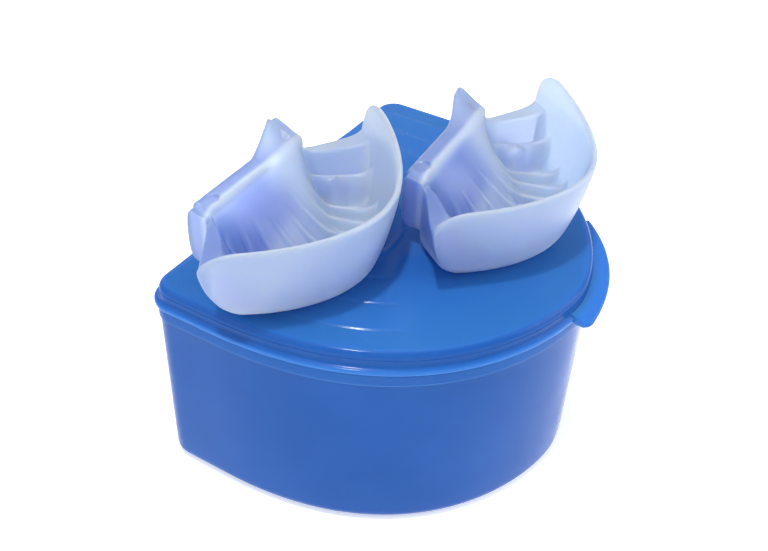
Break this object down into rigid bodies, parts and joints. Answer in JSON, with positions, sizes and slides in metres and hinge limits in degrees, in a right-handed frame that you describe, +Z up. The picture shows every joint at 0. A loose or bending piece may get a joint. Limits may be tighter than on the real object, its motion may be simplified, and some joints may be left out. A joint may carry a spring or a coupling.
{
  "type": "mouthguard with case",
  "caption": "Boil-and-bite mouthguards lying on the lid of a hinged, D-shaped plastic storage case with a thumb tab.",
  "frame": {"origin": "middle of the flat underside of the case", "axes": "+Z up; +Y towards the straight hinge side of the case, -Y towards its rounded front with the thumb tab; +X along the hinge"},
  "size_m": [0.0961, 0.0781, 0.0661],
  "materials": {
    "case_plastic": "translucent blue injection-moulded polypropylene, glossy with fine scuffs",
    "lid_plastic": "the same translucent blue, a little lighter where it is thin",
    "pin_plastic": "blue plastic rod",
    "guard_plastic": "frosted translucent EVA, cool white"
  },
  "bodies": {
    "case": {"case_base": "case_plastic", "hinge_pin": "pin_plastic"},
    "lid": {"case_lid": "lid_plastic"},
    "guard_left": {"mouthguard_left": "guard_plastic"},
    "guard_right": {"mouthguard_right": "guard_plastic"}
  },
  "joints": [
    {"name": "lid_hinge", "type": "hinge", "parent": "case", "child": "lid", "pos_m": [0, 0.0376, 0.0368], "axis": [-1, 0, 0], "range_deg": [0, 180]},
    {"name": "guard_left_lift", "type": "slide", "parent": "lid", "child": "guard_left", "axis": [0, 0, 1], "range_m": [0, 0.03]},
    {"name": "guard_right_lift", "type": "slide", "parent": "lid", "child": "guard_right", "axis": [0, 0, 1], "range_m": [0, 0.03]}
  ]
}
